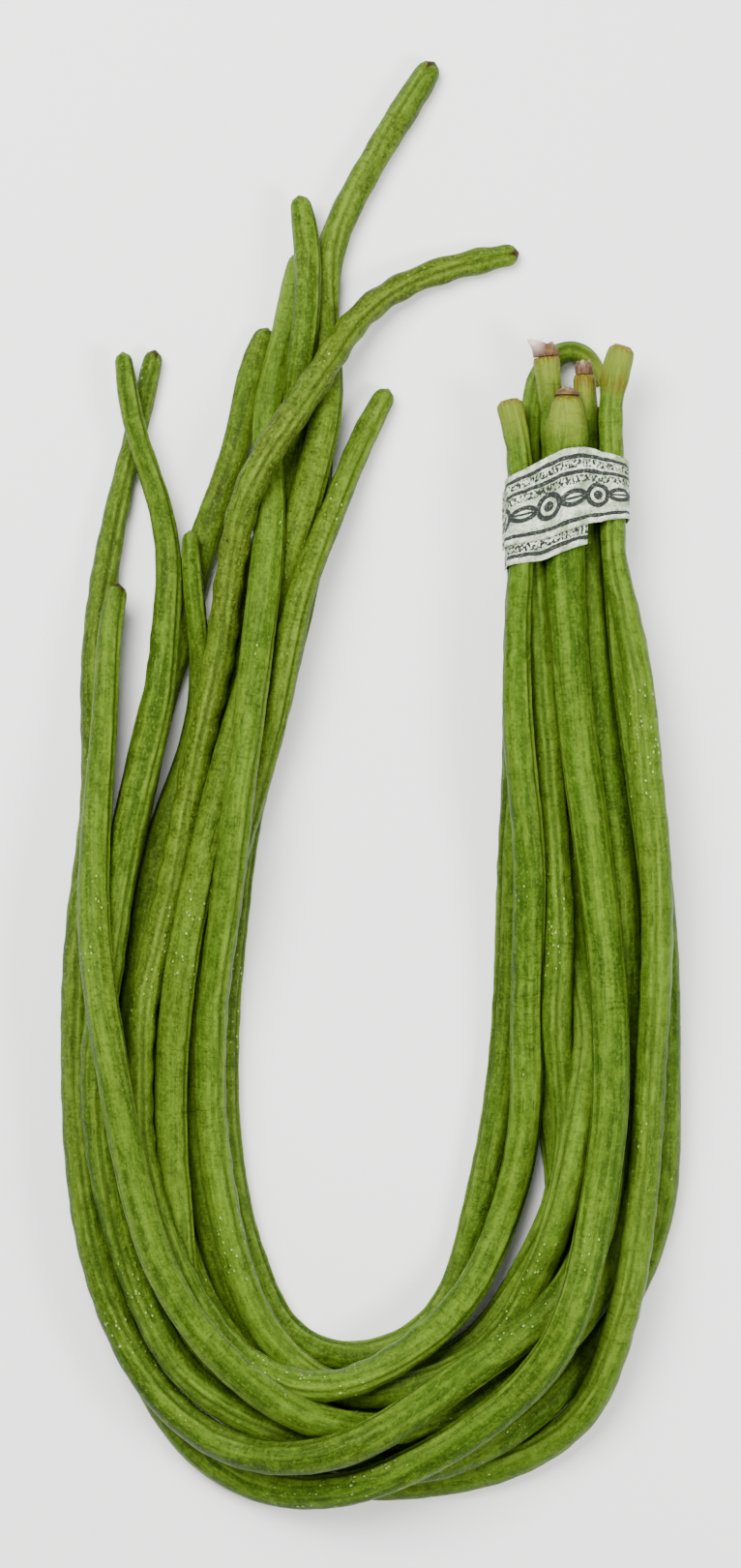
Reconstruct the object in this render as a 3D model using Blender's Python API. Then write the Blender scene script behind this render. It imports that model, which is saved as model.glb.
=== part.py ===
"""A bunch of yardlong beans, folded into a U and lying flat, its stem ends bound by a paper tape.

Eleven long round pods run side by side from the taped stem ends, down one leg of the U, round
its bottom and up the other leg, where their tips fan out. The tape and the dried flower
remnants are pieces of their own. The bunch lies on the plane z = 0, +Y is the way the stem
ends and the tips point, and the origin is under the middle of its bounding box.
"""
import bmesh
import bpy
import numpy as np
from mathutils import Vector

MM = 0.001

# Driving dimensions, in metres
LAYER_RISE = 7.8 * MM        # height of one layer of pods over the one below
POD_GAP = 0.55 * MM          # clearance kept between two pods
FACE_GAP = 0.3 * MM          # clearance between a pod and the piece on its end
STATION_STEP = 5.0 * MM      # spacing of the points that settle against each other
RING_STEP = 2                # a tube takes every second one of those points
TUBE_RESOLUTION = 2          # bevel resolution 2 gives a tube 8 sides
TIP_TAPER = 26.0 * MM        # length over which a pod narrows to its free tip
SHOULDER_TAPER = 95.0 * MM   # length over which it narrows to the shoulder before that
TIP_FRACTION = 0.62          # tip radius over pod radius
STEM_END = 12.0 * MM         # length over which a pod's stem end passes into its neck
NECK_END = (45.0 * MM, 115.0 * MM)     # the neck swells to the full radius between these

BAND_MIDDLE = (55.0 * MM, 77.0 * MM)   # where the tape crosses the leg's centre line, x and y
BAND_WIDTH = 25.0 * MM       # both turns of the tape together, along the pods
BAND_SLOPE = 0.10            # rise of the tape along Y per metre of X
BAND_THICKNESS = 0.5 * MM
BAND_CLEARANCE = 0.4 * MM    # between the tape and the pods
BAND_ROWS = 5
BAND_COLUMNS = 48
BAND_LIFT = 1.2 * MM         # the pods ride this much higher where the tape passes below them
BAND_SQUEEZE = 16.2 * MM     # half the width that the tape holds the pods to
SQUEEZE_RELEASE = 0.5        # how fast that width grows beside the tape, per metre along Y
LIFT_EASE = 30.0 * MM        # length over which the pods come down again beside it

HALF_WIDTH = 87.0 * MM       # the pods stay this close to the middle of the bunch

SETTLE_ROUNDS = 420          # rounds with weight, then rounds that only clear the pods
CLEARING_ROUNDS = 240
FINAL_ROUNDS = 60            # the last of them clear the pods at any cost to smoothness
SETTLE_FALL = 0.09 * MM      # how far a free point falls in a round
ROUTE_PULL = 0.08            # share of its sideways shift that a point gives back in a round
SIDE_YIELD = 0.3             # how readily pods part sideways, against 1 for up and down
PUSH_GAIN = 1.6              # over-correction that lets crowded pods part in fewer rounds

POD_COLOUR = (0.165, 0.235, 0.028, 1.0)
TAPE_COLOUR = (0.62, 0.66, 0.58, 1.0)
CALYX_COLOUR = (0.24, 0.13, 0.06, 1.0)

# Each pod: radius in mm, the radius of its stem end, of the neck past it and of the shoulder
# before its tip as fractions of that, length in mm of the dried remnant on the stem end (0 for
# none), then its route from stem end to tip as points (x mm, y mm, layer), where layer 0 lies
# on the ground and layer 1 on top of that.
PODS = {
    "bean_01": (4.4, 1.0, 0.76, 0.88, 0, [
        (70.5, 122, 2.2), (66.5, 108.5, 2), (68, 95, 2), (69.5, 78, 2), (72.5, 49, 1.8),
        (74.5, 33, 1.6), (77.5, -5, 1.2), (79.5, -24, 1.1), (79.5, -62, 1), (78, -81, 1),
        (76, -113, 1), (73.5, -129, 1), (66.5, -159.5, 0.9), (61.5, -172.5, 0.6), (36, -193.5, 0.1),
        (19, -196.5, 0), (-9, -196.5, 0), (-31, -181.5, 0), (-46, -156, 0.1), (-51, -140.5, 0.4),
        (-56, -109, 1), (-56, -75, 1.1), (-52, -46, 0.8), (-44, -19, 0.4), (-38, 11, 0.2),
        (-34, 26, 0.2), (-27, 53, 0.2), (-23, 65, 0.3), (-17, 87.5, 0.5), (-14.5, 109, 0.5),
        (-14.5, 137, 0.8), (-12.5, 150, 0.9), (-2, 171.5, 1), (11.5, 193.5, 1), (18, 204, 1)]),
    "bean_02": (4.2, 0.75, 0.76, 0.8, 0, [
        (59, 107.5, 1), (59, 92, 1), (59, 60, 0.9), (60, 41, 0.7), (62, 19, 0.4), (66, -30, 0),
        (68, -73, 0), (66.5, -109, 0), (64.5, -129, 0), (47.5, -165.5, 0), (17, -182.5, 0.6),
        (-15, -178.5, 1), (-28, -170.5, 0.9), (-49, -143.5, 0.2), (-55, -125.5, 0), (-61, -93, 0),
        (-59, -63, 0), (-56, -48, 0), (-48, -16, 0), (-42, 14, 0), (-38, 27, 0), (-31, 54, 0),
        (-28, 68, 0), (-22, 92.5, 0.4), (-18, 117, 1), (-17, 128.5, 1.2), (-18, 156.5, 1.3),
        (-20, 165.5, 1.2)]),
    "bean_03": (4.3, 0.88, 0.76, 0.84, 0, [
        (36, 107, 2), (41, 76, 2), (41, 57, 2), (41, 14, 1.6), (45, -24, 1.2), (46, -67, 1.1),
        (42.5, -105, 1.1), (38, -120.5, 1.1), (24, -148, 1.6), (2, -164.5, 1.7), (-10, -169.5, 1.5),
        (-23, -168.5, 1.3), (-35, -162.5, 1.1), (-52, -139.5, 0.6), (-58, -124.5, 0.7),
        (-65, -97, 0.8), (-65, -85, 0.9), (-65, -74, 1), (-64, -62, 1.1), (-61, -51, 1.1),
        (-55, -27, 1.1), (-50, -3, 1.2), (-46, 19, 1.3), (-43, 30, 1.3), (-40, 51, 1.5),
        (-38, 62, 1.5), (-33, 81, 1.6), (-24, 99.5, 1.9), (-18, 107, 1.9), (-9, 123.5, 1.6),
        (-4, 131.5, 1.5), (11, 142, 1.3), (32, 148, 1.1), (42, 150, 1.1)]),
    "bean_04": (4.6, 0.86, 1.06, 0.75, 2.5, [
        (55, 110.5, 2.3), (55, 101.5, 2.3), (54, 73, 2.1), (55, 41, 2), (57, 22, 1.9),
        (62, -16, 1.7), (66, -54, 1.6), (65, -92, 1.6), (63.5, -109, 1.6), (56.5, -141.5, 1.7),
        (45.5, -164.5, 1.6), (25, -181.5, 1.4), (0, -194.5, 1.2), (-24, -199.5, 0.9),
        (-49, -188.5, 0.5), (-58, -176.5, 0.3), (-71, -146, 0.1), (-74, -129, 0), (-75, -89, 0),
        (-75, -67, 0), (-71, -28, 0), (-64, 6, 0), (-62, 16, 0), (-57, 33, 0.1), (-53, 48, 0.2),
        (-48, 66, 0.3), (-44, 77, 0.3), (-36, 98.5, 0.5), (-31, 120.5, 0.7), (-27, 128.5, 0.7)]),
    "bean_05": (4.1, 0.5, 0.72, 0.82, 0, [
        (65.5, 112.5, 1.3), (65.5, 119.5, 1.4), (61.5, 124.5, 1.6), (55.5, 125, 1.8),
        (49, 121, 1.9), (46, 111.5, 2), (45, 101.5, 2), (45, 73, 2), (47, 41, 1.7), (50, 3, 1.3),
        (53, -35, 1), (54, -73, 0.8), (55.5, -89, 0.5), (53, -121.5, 0.1), (41, -151, 0),
        (30, -165.5, 0), (16, -168.5, 0), (-9, -171.5, 0), (-32, -158.5, 0), (-45, -132, 0),
        (-50, -100, 0), (-50, -62, 0), (-47, -46, 0), (-43, -32, 0), (-36, -5, 0), (-28, 22, 0.2),
        (-22, 49, 0.8), (-19, 60, 0.9), (-11, 78, 1), (-0.5, 102, 1), (5, 111.5, 1)]),
    "bean_06": (4.3, 0.8, 0.76, 0.64, 0, [
        (65, 105.5, 1), (65, 92, 1), (67, 76, 1), (69, 43, 0.7), (71, 24, 0.4), (77, -13, 0.1),
        (80, -32, 0.1), (82, -70, 0.2), (82, -92, 0.3), (78.5, -129, 0.3), (61.5, -161.5, 0.2),
        (50.5, -172.5, 0.3), (22, -188.5, 0.6), (-8, -189.5, 0.9), (-21, -183.5, 0.9),
        (-45, -169.5, 1.1), (-63, -145, 1.3), (-69, -130, 1.3), (-76, -102, 1.1), (-78, -75, 0.8),
        (-74, -48, 0.6), (-70, -21, 0.8), (-67, -8, 0.9), (-60, 19, 1), (-57, 46, 1), (-56, 57, 1),
        (-59, 78, 1), (-67, 100.5, 1.2), (-69, 112, 1.2), (-70, 121.5, 1.2)]),
    "bean_07": (4.7, 0.56, 0.72, 0.64, 4, [
        (60, 118.5, 2), (61, 106.5, 2), (61, 92, 2), (62, 60, 2), (63, 43, 1.8), (64, 24, 1.6),
        (69, -19, 1.2), (71, -62, 0.9), (67.5, -104, 0.8), (64.5, -122.5, 0.9), (57.5, -136.5, 1.2),
        (49.5, -146, 1.6), (30, -161.5, 1.9), (9, -175.5, 2), (-2, -181.5, 2), (-36, -185.5, 1.9),
        (-58, -172.5, 1.6), (-66, -161.5, 1.4), (-77, -132, 0.9), (-81, -100, 0.6),
        (-80.5, -62, 0.4), (-79.5, -43, 0.3), (-76.5, -11, 0.2), (-76.5, 6, 0.3), (-77.5, 24, 0.4),
        (-75.5, 57, 0.4), (-69.5, 87.5, 0.4), (-66, 100.5, 0.4), (-61, 122.5, 0.6)]),
    "bean_08": (4.2, 0.8, 0.76, 0.6, 0, [
        (48, 105.5, 0.1), (47, 92, 0.1), (47, 76, 0.1), (46, 57, 0.1), (45, 3, 0), (48, -51, 0),
        (51, -89, 0), (53.5, -105, 0), (50, -137.5, 0), (43, -154, 0), (19, -174.5, 0),
        (-9, -180.5, 0), (-35, -168.5, 0), (-53, -141.5, 0), (-64, -108, 0), (-69, -78, 0),
        (-69, -65, 0), (-66, -38, 0.1), (-64, -26, 0.2), (-57, -5, 0.4), (-53, 3, 0.5),
        (-48, 24, 0.7), (-48, 35, 0.9), (-51, 60, 1.2), (-51, 71, 1.2)]),
    "bean_09": (4.4, 0.8, 0.76, 0.76, 0, [
        (62, 101.5, 0.1), (62, 89, 0.1), (63, 57, 0.1), (69, 14, 0), (72, -11, 0), (75, -65, 0),
        (75, -92, 0), (73, -113, 0), (58.5, -151, 0.4), (32, -172.5, 0.8), (3, -181.5, 0.9),
        (-12, -178.5, 1.2), (-27, -170.5, 1.5), (-39, -160.5, 1.6), (-56, -137.5, 1.6),
        (-67, -105, 1.5), (-73, -73, 1.4), (-77, -40, 1.4), (-77, -24, 1.5), (-75, 14, 1.4),
        (-74, 30, 1.3), (-74, 43, 1.2), (-71, 56, 1.2)]),
    "bean_10": (4.3, 0.94, 0.76, 0.8, 4, [
        (48, 123.5, 2), (50, 101.5, 1.7), (51, 73, 1.1), (51, 57, 1), (53, 14, 0.6), (55, -8, 0.4),
        (59, -46, 0.4), (59, -65, 0.6), (58, -81, 0.9), (57.5, -94, 1.1), (56, -105, 1.2),
        (50.5, -130, 1.1), (37.5, -156.5, 0.9), (10, -170.5, 0.9), (-2, -172.5, 0.9),
        (-24, -162.5, 1.1), (-35, -143.5, 1.2), (-42, -115, 1.2), (-44, -102, 1.2), (-45, -70, 1.2),
        (-42, -38, 1.2), (-40, -21, 1.2), (-35, 11, 1.3), (-31, 43, 1.3), (-28, 70, 1.2),
        (-28, 97.5, 1.1), (-24, 125.5, 1), (-22, 140, 0.9), (-20, 150, 0.7)]),
    "bean_11": (4.1, 0.8, 0.76, 0.7, 0, [
        (44, 102.5, 1), (43, 60, 1), (42, 41, 0.8), (42, -3, 0.4), (41, -24, 0.2), (40, -43, 0.1),
        (39, -59, 0), (36, -92, 0), (30, -122, 0), (21, -150.5, 0), (1, -166, 0), (-23, -164, 0),
        (-37, -149.5, 0), (-40, -136.5, 0), (-44, -102, 0), (-44, -70, 0), (-41, -38, 0),
        (-39, -24, 0), (-32.5, 3, 0), (-28.5, 16, 0), (-22, 41, 0), (-17, 62, 0), (-14, 89.5, 0),
        (-13, 111, 0)]),
}


def ease(x):
    """0 to 1 as x goes from 0 to 1, flat at both ends."""
    x = np.clip(x, 0.0, 1.0)
    return x * x * (3.0 - 2.0 * x)


def smooth_curve(points, step):
    """Evenly spaced points on a smooth curve through the given ones."""
    ends = (2.0 * points[:1] - points[1:2], 2.0 * points[-1:] - points[-2:-1])
    through = np.concatenate((ends[0], points, ends[1]))
    span = np.linalg.norm(np.diff(through, axis=0), axis=1)[:, None]
    slope = np.diff(through, axis=0) / span
    tangent = (slope[:-1] * span[1:] + slope[1:] * span[:-1]) / (span[:-1] + span[1:])
    fine = []
    for k in range(len(points) - 1):
        t = np.linspace(0.0, 1.0, 16, endpoint=False)[:, None]
        reach = span[k + 1]
        fine.append((2 * t**3 - 3 * t**2 + 1) * points[k] + (t**3 - 2 * t**2 + t) * reach * tangent[k]
                    + (3 * t**2 - 2 * t**3) * points[k + 1] + (t**3 - t**2) * reach * tangent[k + 1])
    fine = np.concatenate(fine + [points[-1:]])
    along = np.concatenate(([0.0], np.cumsum(np.linalg.norm(np.diff(fine, axis=0), axis=1))))
    stations = np.linspace(0.0, along[-1], int(round(along[-1] / step)) + 1)
    return np.stack([np.interp(stations, along, fine[:, i]) for i in range(3)], axis=1)


def pod_target(radius, route):
    """A pod's route before it settles, in metres, with the corners of its points eased."""
    points = np.array(route, float) * (MM, MM, LAYER_RISE)
    points[:, 2] += radius
    curve = smooth_curve(points, STATION_STEP)
    for _ in range(4):
        curve[1:-1] += 0.25 * (curve[:-2] - 2.0 * curve[1:-1] + curve[2:])
    return curve


def pod_radii(radius, end_fraction, neck_fraction, shoulder, curve):
    """The radius at each station: stem end, slimmer neck, full pod, shoulder, tapered tip."""
    steps = np.linalg.norm(np.diff(curve, axis=0), axis=1)
    along = np.concatenate(([0.0], np.cumsum(steps)))
    stem = end_fraction + (neck_fraction - end_fraction) * ease(along / STEM_END)
    stem += (1.0 - neck_fraction) * ease((along - NECK_END[0]) / (NECK_END[1] - NECK_END[0]))
    left = along[-1] - along
    tip = TIP_FRACTION + (1.0 - TIP_FRACTION) * np.sin(0.5 * np.pi * np.clip(
        left / TIP_TAPER, 0.0, 1.0))
    tip *= shoulder + (1.0 - shoulder) * ease((left - 0.5 * TIP_TAPER) / SHOULDER_TAPER)
    return radius * stem * tip


def off_band(point):
    """How far each point is from the tape's edges along Y, 0 under the tape."""
    return np.maximum(np.abs(point[:, 1] - BAND_MIDDLE[1]) - 0.6 * BAND_WIDTH, 0.0)


def band_lift(point):
    """How much higher than the ground a pod lies, near the tape that passes below it."""
    on_leg = ease((point[:, 0] - 0.3 * BAND_MIDDLE[0]) / (0.3 * BAND_MIDDLE[0]))
    return BAND_LIFT * on_leg * (1.0 - ease(off_band(point) / LIFT_EASE))


def side_limits(point, radii):
    """The lowest and highest x for each point: the bunch's sides, and on one leg the tape."""
    half = BAND_SQUEEZE + SQUEEZE_RELEASE * off_band(point) - radii
    half[point[:, 0] < 0.5 * BAND_MIDDLE[0]] = np.inf
    low = np.maximum(BAND_MIDDLE[0] - half, radii - HALF_WIDTH)
    return low, np.minimum(BAND_MIDDLE[0] + half, HALF_WIDTH - radii)


def near_pairs(place, pod, reach):
    """Point i of one pod and segment j of another that lie within reach of each other."""
    gap = place[:, None, :] - place[None, :, :]
    close = (gap**2).sum(axis=2) < reach**2
    close &= pod[:, None] != pod[None, :]
    close[:, -1] = False
    i, j = np.nonzero(close)
    whole = pod[j] == pod[j + 1]
    return i[whole], j[whole]


def push_apart(place, radii, i, j):
    """Moves each point and segment that come too close half the way apart, sharing the push.

    They part more readily up and down than sideways, so a crowded pod climbs over its
    neighbour instead of leaving its route.
    """
    start = place[j]
    run = place[j + 1] - start
    t = np.clip(((place[i] - start) * run).sum(1) / (run**2).sum(1), 0.0, 1.0)
    away = place[i] - start - t[:, None] * run
    distance = np.linalg.norm(away, axis=1)
    need = radii[i] + radii[j] * (1.0 - t) + radii[j + 1] * t + POD_GAP - distance
    hit = need > 0.0
    i, j, t = i[hit], j[hit], t[hit]
    away = away[hit] / np.maximum(distance[hit], 1e-6)[:, None]
    yielding = away * (SIDE_YIELD, SIDE_YIELD, 1.0)
    push = 0.5 * (need[hit] / (yielding * away).sum(1))[:, None] * yielding
    moved = np.zeros_like(place)
    share = np.zeros(len(place))
    for index, weight in ((i, np.ones_like(t)), (j, t - 1.0), (j + 1, -t)):
        np.add.at(moved, index, push * weight[:, None])
        np.add.at(share, index, np.abs(weight))
    return moved / np.maximum(share, 1.0)[:, None]


def settle(targets, radii_list):
    """Lets the pods down onto the ground and each other until no two touch.

    Each round pulls every point back toward its route, evens its shift out along the pod,
    lowers it a little, and pushes close pods apart and off the ground.
    """
    target = np.concatenate(targets)
    radii = np.concatenate(radii_list)
    pod = np.repeat(np.arange(len(targets)), [len(t) for t in targets])
    inner = np.nonzero((pod[1:-1] == pod[:-2]) & (pod[1:-1] == pod[2:]))[0] + 1
    heads = np.nonzero(np.diff(pod, prepend=-1))[0]
    tails = np.append(heads[1:], len(pod)) - 1
    ground = radii + band_lift(target)
    low_x, high_x = side_limits(target, radii)
    place = target.copy()
    reach = 2.0 * radii.max() + 3.0 * STATION_STEP
    for turn in range(SETTLE_ROUNDS + CLEARING_ROUNDS):
        if turn % 20 == 0:
            i, j = near_pairs(place, pod, reach)
        weight = 1.0 if turn < SETTLE_ROUNDS else 0.0
        shift = place - target
        even = np.zeros_like(shift)
        even[inner] = 0.25 * (shift[inner - 1] - 2.0 * shift[inner] + shift[inner + 1])
        even[heads] = 0.25 * (shift[heads + 1] - shift[heads])
        even[tails] = 0.25 * (shift[tails - 1] - shift[tails])
        if turn < SETTLE_ROUNDS + CLEARING_ROUNDS - FINAL_ROUNDS:
            place += (0.15 + 0.85 * weight) * even
        place[:, :2] -= ROUTE_PULL * weight * shift[:, :2]
        place[:, 2] -= SETTLE_FALL * weight
        place += PUSH_GAIN * push_apart(place, radii, i, j)
        place[:, 0] = np.clip(place[:, 0], low_x, high_x)
        place[:, 2] = np.maximum(place[:, 2], ground)
    return np.split(place, heads[1:])


def centred(places, radii_list):
    """The same routes with the origin under the middle of the bunch's bounding box."""
    low = np.min([(p - r[:, None]).min(0) for p, r in zip(places, radii_list)], axis=0)
    high = np.max([(p + r[:, None]).max(0) for p, r in zip(places, radii_list)], axis=0)
    middle = np.array((0.5 * (low[0] + high[0]), 0.5 * (low[1] + high[1]), 0.0))
    return [p - middle for p in places]


def material(name, colour, roughness):
    """A plain Principled material."""
    made = bpy.data.materials.new(name)
    made.use_nodes = True
    shader = made.node_tree.nodes["Principled BSDF"]
    shader.inputs["Base Color"].default_value = colour
    shader.inputs["Roughness"].default_value = roughness
    shader.inputs["Metallic"].default_value = 0.0
    return made


def add_object(name, data, look, collection):
    """Puts a mesh or curve in the collection under its node's name."""
    data.materials.append(look)
    made = bpy.data.objects.new(name, data)
    collection.objects.link(made)
    return made


def skip_length(curve, length):
    """The curve without its first stretch of the given length."""
    steps = np.linalg.norm(np.diff(curve[:, :3], axis=0), axis=1)
    along = np.concatenate(([0.0], np.cumsum(steps)))
    kept = along > length + 0.3 * STATION_STEP
    start = [np.interp(length, along, curve[:, i]) for i in range(curve.shape[1])]
    return np.vstack((start, curve[kept]))


def build_pod(name, route, radii, remnant, collection):
    """One pod: a tube through every second station, starting past the remnant on its end."""
    whole = np.column_stack((route, radii))
    if remnant > 0.0:
        whole = skip_length(whole, remnant + FACE_GAP)
    rows = np.concatenate((whole[:-1:RING_STEP], whole[-1:]))
    data = bpy.data.curves.new(name, "CURVE")
    data.dimensions = "3D"
    data.bevel_depth = 1.0
    data.bevel_resolution = TUBE_RESOLUTION
    data.use_fill_caps = True
    spline = data.splines.new("POLY")
    spline.points.add(len(rows) - 1)
    for point, row in zip(spline.points, rows):
        point.co = (*row[:3], 1.0)
        point.radius = row[3]
    add_object(name, data, material(name, POD_COLOUR, 0.4), collection)


def build_calyx(name, route, radius, length, collection):
    """The dried flower remnant on a stem end: a short cone that narrows away from the pod."""
    mesh = bpy.data.meshes.new(name)
    shape = bmesh.new()
    bmesh.ops.create_cone(shape, cap_ends=True, segments=12, radius1=radius,
                          radius2=0.55 * radius, depth=length)
    shape.to_mesh(mesh)
    shape.free()
    made = add_object(name, mesh, material(name, CALYX_COLOUR, 0.85), collection)
    out = Vector(route[0] - route[1]).normalized()
    made.rotation_mode = "QUATERNION"
    made.rotation_quaternion = out.to_track_quat("Z", "Y")
    made.location = Vector(route[0]) - out * 0.5 * length


def crossing(route, radii, y):
    """Where a pod crosses the plane at y, on the taped leg: x, z and radius, or None."""
    for k in range(len(route) - 1):
        a, b = route[k], route[k + 1]
        if a[0] > 0.0 and (a[1] - y) * (b[1] - y) <= 0.0 and a[1] != b[1]:
            t = (y - a[1]) / (b[1] - a[1])
            spread = np.linalg.norm(b - a) / abs(b[1] - a[1])
            return (a[0] + t * (b[0] - a[0]), a[2] + t * (b[2] - a[2]), spread * radii[k])
    return None


def hull_outline(circles, angles):
    """Distance from the circles' middle to their tight outline, in each direction."""
    circles = np.array(circles)
    middle = 0.5 * (circles[:, :2].min(0) + circles[:, :2].max(0))
    facing = np.linspace(0.0, 2.0 * np.pi, 360, endpoint=False)
    normals = np.stack((np.cos(facing), np.sin(facing)), axis=1)
    support = ((circles[:, :2] - middle) @ normals.T + circles[:, 2:]).max(axis=0)
    turn = np.cos(angles[:, None] - facing[None, :])
    distance = np.where(turn > 0.05, support / np.maximum(turn, 0.05), np.inf).min(axis=1)
    return middle, distance


def build_band(routes, radii_list, collection):
    """The paper tape: a closed ring drawn tight round the pods, a little aslant."""
    angles = np.linspace(0.0, 2.0 * np.pi, BAND_COLUMNS, endpoint=False)
    offsets = np.linspace(-0.5, 0.5, BAND_ROWS) * BAND_WIDTH
    rings = []
    for offset in offsets:
        y = BAND_MIDDLE[1] + offset
        circles = [crossing(p, r, y) for p, r in zip(routes, radii_list)]
        middle, distance = hull_outline([c for c in circles if c], angles)
        rings.append((middle, distance))
    widest = np.max([distance for _, distance in rings], axis=0)
    shape = bmesh.new()
    rows = []
    for inner in (True, False):
        extra = BAND_CLEARANCE + (0.0 if inner else BAND_THICKNESS)
        order = range(BAND_ROWS) if inner else reversed(range(BAND_ROWS))
        for k in order:
            middle, distance = rings[k]
            reach = 0.5 * (distance + widest) + extra
            x = middle[0] + reach * np.cos(angles)
            z = middle[1] + reach * np.sin(angles)
            y = BAND_MIDDLE[1] + offsets[k] + BAND_SLOPE * (x - BAND_MIDDLE[0])
            rows.append([shape.verts.new(v) for v in zip(x, y, z)])
    for row, following in zip(rows, rows[1:] + rows[:1]):
        for c in range(BAND_COLUMNS):
            d = (c + 1) % BAND_COLUMNS
            shape.faces.new((row[c], row[d], following[d], following[c]))
    bmesh.ops.recalc_face_normals(shape, faces=shape.faces)
    mesh = bpy.data.meshes.new("paper_band")
    shape.to_mesh(mesh)
    shape.free()
    add_object("paper_band", mesh, material("paper_band", TAPE_COLOUR, 0.8), collection)


def main():
    for old in list(bpy.data.objects):
        bpy.data.objects.remove(old, do_unlink=True)
    collection = bpy.data.collections.new("yardlong_bean_bunch")
    bpy.context.scene.collection.children.link(collection)

    targets = [pod_target(pod[0] * MM, pod[5]) for pod in PODS.values()]
    radii_list = [pod_radii(pod[0] * MM, *pod[1:4], t) for pod, t in zip(PODS.values(), targets)]
    routes = centred(settle(targets, radii_list), radii_list)

    calyx = 0
    for (name, pod), route, radii in zip(PODS.items(), routes, radii_list):
        remnant = pod[4] * MM
        build_pod(name, route, radii, remnant, collection)
        if remnant > 0.0:
            calyx += 1
            build_calyx(f"calyx_{calyx:02d}", route, 0.9 * radii[0], remnant, collection)
    build_band(routes, radii_list, collection)


main()
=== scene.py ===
"""Yardlong bean bunch: the finished surfaces of the pods, the dried calyxes and the paper tape.

Every pod is a skin carried along the middle line of its CAD tube, which is read back from the
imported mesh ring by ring, so the pods lie exactly where the CAD model settled them.
"""

import bpy
import numpy as np
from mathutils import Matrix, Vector


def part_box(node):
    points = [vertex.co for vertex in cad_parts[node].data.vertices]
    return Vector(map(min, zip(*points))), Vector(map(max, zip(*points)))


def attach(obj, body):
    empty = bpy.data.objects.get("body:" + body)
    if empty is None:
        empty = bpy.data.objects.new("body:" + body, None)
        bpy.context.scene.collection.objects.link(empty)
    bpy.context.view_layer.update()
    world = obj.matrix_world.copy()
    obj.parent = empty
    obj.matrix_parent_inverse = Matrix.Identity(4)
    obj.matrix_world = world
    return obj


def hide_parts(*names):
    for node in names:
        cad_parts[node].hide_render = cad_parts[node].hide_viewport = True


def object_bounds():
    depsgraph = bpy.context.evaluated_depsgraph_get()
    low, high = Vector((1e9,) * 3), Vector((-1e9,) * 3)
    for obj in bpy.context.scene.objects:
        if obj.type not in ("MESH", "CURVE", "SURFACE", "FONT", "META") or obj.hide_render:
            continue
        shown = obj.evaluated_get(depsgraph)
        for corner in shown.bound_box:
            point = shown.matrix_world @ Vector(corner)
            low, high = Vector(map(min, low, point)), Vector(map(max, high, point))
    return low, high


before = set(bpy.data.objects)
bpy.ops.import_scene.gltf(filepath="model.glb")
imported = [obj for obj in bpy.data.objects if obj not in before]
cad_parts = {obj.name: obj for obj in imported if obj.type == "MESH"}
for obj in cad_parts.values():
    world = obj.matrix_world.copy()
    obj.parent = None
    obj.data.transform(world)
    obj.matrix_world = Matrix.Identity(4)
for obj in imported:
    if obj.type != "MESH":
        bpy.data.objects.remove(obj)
CAD_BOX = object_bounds()

bl_info = {
    "name": "Yardlong Bean Bunch",
    "version": (1, 0, 0),
    "blender": (4, 5, 0),
    "location": "View3D > Sidebar > Beans",
    "description": "Pod skins, dried calyxes and a wound paper tape over a packed bean bunch",
    "category": "Object",
}

MM = 0.001
PODS = sorted(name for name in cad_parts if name.startswith("bean_"))
TUBE_SIDES = 8               # points round a CAD tube
CAP_FLAT = 0.02 * MM         # how far the points of a tube's end cap may lie off its plane
CAP_REACH = 10.5 * MM        # no point of a cap is farther from the middle of one of its triangles
LEG_REACH = 60 * MM          # how far from the tape's middle the pods under it are looked up

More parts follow.
